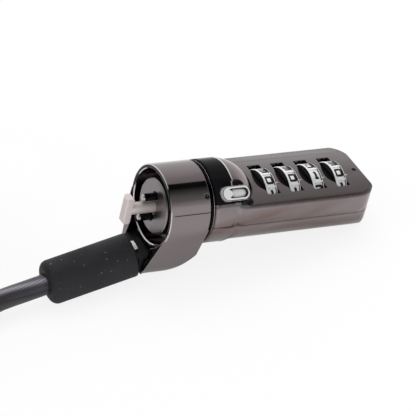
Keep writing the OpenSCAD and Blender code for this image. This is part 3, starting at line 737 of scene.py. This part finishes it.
outline = [(0, -HALF_W - HAIR)]
for side, start in ((-1, -90), (1, 0)):
    for step in range(CORNER_STEPS + 1):
        angle = math.radians(start + 90 * step / CORNER_STEPS)
        across = side * (HALF_W - TAIL_R) + (TAIL_R + HAIR) * math.sin(angle)
        outline.append((TAIL_X - TAIL_R + (TAIL_R + HAIR) * math.cos(angle), across))
outline.append((0, HALF_W + HAIR))
shape = bmesh.new()
top = shape.faces.new([shape.verts.new(point(ahead, across, FORM_TOP)) for ahead, across in outline])
region = bmesh.ops.extrude_face_region(shape, geom=[top])["geom"]
lower = [part for part in region if isinstance(part, bmesh.types.BMVert)]
bmesh.ops.translate(shape, verts=lower, vec=point(0, 0, -FORM_TOP - BELLY_Z - HAIR))
keel = [part for part in region if isinstance(part, bmesh.types.BMEdge)]
keel = [edge for edge in keel if min(corner.co.x for corner in edge.verts) > KEEL_FROM_X / 1000]
bmesh.ops.bevel(
    shape, geom=keel, offset=TAIL_ROUND / 1000, segments=10, profile=0.5, affect="EDGES", material=-1
)
tail_form = block("tail_form", shape)
shape = bmesh.new()
place = Matrix.Translation(point(*OFFCUT_CENTRE)) @ Matrix.Diagonal(OFFCUT_SIZE)
bmesh.ops.create_cube(shape, size=0.001, matrix=place)
offcut = block("offcut", shape)
carve(offcut, tail_form)
shape = bmesh.new()
shape.from_mesh(nodes["lower_housing"].data)
bmesh.ops.remove_doubles(shape, verts=shape.verts, dist=0.000001)
lower_shell = in_scene("lower_shell", shape)
carve(lower_shell, offcut)
lower_shell.data.materials.clear()
lower_shell.data.materials.append(housing_plating)
lower_shell.data.shade_smooth()
lower_shell.data.set_sharp_from_angle(angle=math.radians(25))
flats = lower_shell.modifiers.new("flats", "WEIGHTED_NORMAL")
flats.weight = 100
flats.keep_sharp = True
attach(lower_shell, "housing")
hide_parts("lower_housing")
bpy.data.objects.remove(tail_form)
bpy.data.objects.remove(offcut)

# Pointer marks on the face, one beside each window, filled with pale paint.
WINDOW_W, FACE_Z = 3.15, 3.84
MARK_AWAY, MARK_Y, MARK_SIZE = 0.75, -1.5, (0.75, 0.3, 0.06, 1)
# each window is centred on its dial's joint
dial_places = [joint_in_lock(f"dial_{number}_turn")[0] for number in (1, 2, 3, 4)]
pale_paint = finished("pale_paint", (0.55, 0.54, 0.54), roughness=0.45, grain=6000)
shape = bmesh.new()
for dial_x in dial_places:
    place = Matrix.Translation(point(dial_x + WINDOW_W / 2 + MARK_AWAY, MARK_Y, FACE_Z))
    place = place @ Matrix.Diagonal(MARK_SIZE)
    corners = bmesh.ops.create_cube(shape, size=0.001, matrix=place)["verts"]
    edges = list({edge for corner in corners for edge in corner.link_edges})
    bmesh.ops.bevel(shape, geom=edges, offset=0.00002, segments=2, profile=0.5, affect="EDGES", material=-1)
bmesh.ops.transform(shape, matrix=LOCK, verts=shape.verts)
marks = in_scene("window_marks", shape)
marks.data.materials.append(pale_paint)
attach(marks, "housing")


# Dials: four rings with ten sunk fields each, plated bright silver on the rim,
# with the flanks painted black as shade. The numbers are black, printed in the fields.
dial_silver = finished(
    "dial_silver",
    (0.86, 0.86, 0.88),
    roughness=0.3,
    metallic=0.35,
    worn_and_lit=(0.97, 0.97, 0.98),
    grain=2600,
    grain_height=0.000006,
    dull=0.15,
    radius=0.00008,
)
tree = dial_silver.node_tree
sideways = tree.nodes.new("ShaderNodeVectorMath")
sideways.operation = "DOT_PRODUCT"
sideways.inputs[1].default_value = LOCK.to_3x3() @ Vector((1, 0, 0))
tree.links.new(tree.nodes.new("ShaderNodeTexCoord").outputs["Normal"], sideways.inputs[0])
# painted shade: the dials' flanks are black
shaded_flank = math_node(tree, "GREATER_THAN", math_node(tree, "ABSOLUTE", sideways.outputs["Value"]), 0.9)
coloured(tree, shaded_flank, (0.01, 0.01, 0.011))
coat_nodes(dial_silver, "dial_1", "dial_2", "dial_3", "dial_4")

number_ink = finished("number_ink", (0.008, 0.008, 0.009), roughness=0.35, grain=7000)
# the fields' middle lies a little behind the dial's joint
FIELD_X, FIELD_R = 0.075, 5.25
# the digits are drawn with strokes on a grid of 10 by 14, in a column, one row for each
STROKES = {
    0: [[(-5, 5), (-3.5, 7), (3.5, 7), (5, 5), (5, -5), (3.5, -7), (-3.5, -7), (-5, -5), (-5, 5), (-3.5, 7)]],
    1: [[(-2, 5), (0.5, 7), (0.5, -7)], [(-2.5, -7), (3.5, -7)]],
    2: [[(-5, 5), (-3.5, 7), (3.5, 7), (5, 5), (5, 2), (-5, -5), (-5, -7), (5, -7)]],
    3: [[(-5, 7), (5, 7), (0, 1.5), (3.5, 1), (5, -1), (5, -5), (3.5, -7), (-3.5, -7), (-5, -5)]],
    4: [[(3, -7), (3, 7), (-5, -2), (5, -2)]],
    5: [[(5, 7), (-5, 7), (-5, 1), (3.5, 1), (5, -1), (5, -5), (3.5, -7), (-3.5, -7), (-5, -5)]],
    6: [[(4, 7), (-3.5, 7), (-5, 5), (-5, -5), (-3.5, -7), (3.5, -7), (5, -5), (5, -1), (3.5, 0.5),
         (-5, 0.5)]],
    7: [[(-5, 7), (5, 7), (5, 5), (-1, -7)]],
    8: [[(-3.5, 0.5), (-5, 2), (-5, 5), (-3.5, 7), (3.5, 7), (5, 5), (5, 2), (3.5, 0.5), (-3.5, 0.5),
         (-5, -1), (-5, -5), (-3.5, -7), (3.5, -7), (5, -5), (5, -1), (3.5, 0.5)]],
    9: [[(-4, -7), (3.5, -7), (5, -5), (5, 5), (3.5, 7), (-3.5, 7), (-5, 5), (-5, 1), (-3.5, -0.5),
         (5, -0.5)]],
}  # fmt: skip
GRID_X, GRID_Y, ROW = 0.000142, 0.00011, 0.01
STROKE_R, STROKE_STEPS = 0.00029, 6
# how far a stroke stands out of the field, in millimetres for each metre of its drawing
RELIEF = 120
# where the first number stands, and the angle from one field to the next, in degrees
FIRST_FIELD, FIELD_STEP = 20, 36
for dial, dial_x in enumerate(dial_places):
    curve = bpy.data.curves.new("strokes", "CURVE")
    curve.dimensions = "3D"
    curve.bevel_depth = STROKE_R
    curve.bevel_resolution = 1
    curve.use_fill_caps = True
    for digit, lines in STROKES.items():
        for line in lines:
            stops = [
                Vector(start).lerp(Vector(end), step / STROKE_STEPS)
                for start, end in zip(line, line[1:])
                for step in range(STROKE_STEPS)
            ]
            stops.append(Vector(line[-1]))
            spline = curve.splines.new("POLY")
            spline.points.add(len(stops) - 1)
            for stop, (across, up) in zip(spline.points, stops):
                stop.co = (GRID_X * across, GRID_Y * up + ROW * digit, 0, 1)
    drawn = bpy.data.objects.new("strokes", curve)
    bpy.context.scene.collection.objects.link(drawn)
    flat = bpy.data.meshes.new_from_object(drawn.evaluated_get(bpy.context.evaluated_depsgraph_get()))
    bpy.data.objects.remove(drawn)
    # each number is laid round the dial in its own field, on the third dial one field back
    for corner in flat.vertices:
        digit = round(corner.co.y / ROW)
        field = digit - (dial == 2)
        turn = math.radians(FIRST_FIELD + FIELD_STEP * field) - (corner.co.y - ROW * digit) * 1000 / FIELD_R
        out_by = FIELD_R + RELIEF * corner.co.z
        ahead = dial_x + FIELD_X + corner.co.x * 1000
        corner.co = LOCK @ point(ahead, -out_by * math.sin(turn), out_by * math.cos(turn))
    numbers = bpy.data.objects.new(f"numbers_{dial + 1}", flat)
    flat.name = numbers.name
    bpy.context.scene.collection.objects.link(numbers)
    numbers.data.materials.append(number_ink)
    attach(numbers, f"dial_{dial + 1}")


# Inside: a code sleeve in each dial, the spindle with a fin for each, the leaf
# that clicks the dials into place, and the return springs, all of bare steel.
turned_steel = finished(
    "turned_steel", (0.5, 0.5, 0.51), roughness=0.28, metallic=1.0, worn_and_lit=(0.8, 0.8, 0.8), grain=2000
)
coat_nodes(turned_steel, "code_sleeve_1", "code_sleeve_2", "code_sleeve_3", "code_sleeve_4", "lock_spindle")
spring_steel = finished(
    "spring_steel", (0.4, 0.39, 0.37), roughness=0.3, metallic=1.0, worn_and_lit=(0.7, 0.7, 0.68), grain=3000
)
coat_nodes(spring_steel, "detent_spring", "spindle_spring", "button_spring")


# Button: a slider of bright chrome with a dished top, which is pressed to let
# the T-bar turn. A dark line of painted shade runs along the walls of its dish.
bright_chrome = finished(
    "bright_chrome",
    (0.95, 0.95, 0.97),
    roughness=0.16,
    metallic=0.4,
    worn_and_lit=(0.97, 0.97, 0.98),
    grain=6000,
    grain_height=0.000001,
    dull=0.05,
)
tree = bright_chrome.node_tree
# painted shade: ambient occlusion blackens the corners of the dish
corners = tree.nodes.new("ShaderNodeAmbientOcclusion")
corners.samples = 8
corners.only_local = True
corners.inputs["Distance"].default_value = 0.0009
coloured(tree, ramp(tree, 0.82, corners.outputs["AO"], 6.0), (0.01, 0.01, 0.011))
coat_nodes(bright_chrome, "button")


# Studio: a white table under a white tent. The polish also sees the dark side
# of the room, in front and above, which gives it its black bands.
shape = bmesh.new()
bmesh.ops.create_grid(shape, x_segments=1, y_segments=1, size=3)
table = in_scene("table", shape)
white_table = material("white_table", (0.92, 0.92, 0.92), roughness=0.9, Specular_IOR_Level=0.1)
tree = white_table.node_tree
# the table glows to the camera, to glossy rays and through glass, each by its own share
seen = tree.nodes.new("ShaderNodeLightPath").outputs
shown = math_node(tree, "MULTIPLY", seen["Is Camera Ray"], 0.84)
shown = math_node(tree, "ADD", shown, math_node(tree, "MULTIPLY", seen["Is Glossy Ray"], 0.3))
through = math_node(tree, "MULTIPLY", seen["Is Transmission Ray"], 0.8)
shown = math_node(tree, "ADD", shown, through, clamp=True)
glow = tree.nodes.new("ShaderNodeEmission")
glow.inputs["Color"].default_value = (1, 1, 1, 1)
both = tree.nodes.new("ShaderNodeMixShader")
tree.links.new(shown, both.inputs[0])
tree.links.new(tree.nodes["Principled BSDF"].outputs[0], both.inputs[1])
tree.links.new(glow.outputs[0], both.inputs[2])
tree.links.new(both.outputs[0], tree.nodes["Material Output"].inputs["Surface"])
table.data.materials.append(white_table)

world = bpy.data.worlds.new("studio")
world.use_nodes = True
tree = world.node_tree
tent = tree.nodes["Background"]
seen = tree.nodes.new("ShaderNodeLightPath").outputs
shown = math_node(tree, "ADD", seen["Is Camera Ray"], seen["Is Glossy Ray"])
shown = math_node(tree, "ADD", shown, seen["Is Transmission Ray"], clamp=True)
# it is a little brighter to look at than it lights
tree.links.new(between(tree, shown, 0.76, 1.0), tent.inputs["Strength"])
split = tree.nodes.new("ShaderNodeSeparateXYZ")
tree.links.new(tree.nodes.new("ShaderNodeTexCoord").outputs["Generated"], split.inputs[0])
# round the lock's length, from the back of the tent over the top to the front
over = math_node(tree, "ARCTAN2", math_node(tree, "MULTIPLY", split.outputs["Y"], -1.0), split.outputs["Z"])
over = math_node(tree, "ADD", math_node(tree, "DIVIDE", over, math.pi), 0.5)
PANELS = [
    (0.05, 1.0), (0.18, 0.92), (0.25, 0.83), (0.38, 0.62), (0.475, 0.52), (0.49, 0.01), (0.58, 0.015),
    (0.66, 0.14), (0.71, 0.24), (0.8, 0.35), (0.855, 0.62), (0.9, 0.95), (0.94, 1.0),
]  # fmt: skip
panels = tree.nodes.new("ShaderNodeValToRGB")
tree.links.new(over, panels.inputs[0])
for index, (at, tone) in enumerate(PANELS):
    stop = panels.color_ramp.elements[index] if index < 2 else panels.color_ramp.elements.new(at)
    stop.position = at
    stop.color = (tone, tone, tone, 1)
tree.links.new(mixed(tree, seen["Is Glossy Ray"], (1, 1, 1), panels.outputs[0]), tent.inputs["Color"])
bpy.context.scene.world = world


def softbox(name, place, aim, size, watts):
    """A rectangular lamp that points at its aim and isn't mirrored in the polish."""
    lamp = bpy.data.lights.new(name, "AREA")
    lamp.shape = "RECTANGLE"
    lamp.size, lamp.size_y = size
    lamp.energy = watts
    made = bpy.data.objects.new(name, lamp)
    made.location = place
    made.rotation_euler = (Vector(aim) - Vector(place)).to_track_quat("-Z", "Y").to_euler()
    made.visible_glossy = False
    bpy.context.scene.collection.objects.link(made)


softbox("overhead", (0.1, 0.25, 0.6), (0, 0, 0), (0.5, 0.4), 1.4)
softbox("left_strip", (-0.5, -0.05, 0.36), (0, 0, 0.01), (0.12, 0.12), 0.35)
softbox("right_strip", (0.5, 0.12, 0.22), (0, 0, 0.01), (0.1, 0.16), 0.3)
bpy.context.scene.view_settings.view_transform = "Standard"
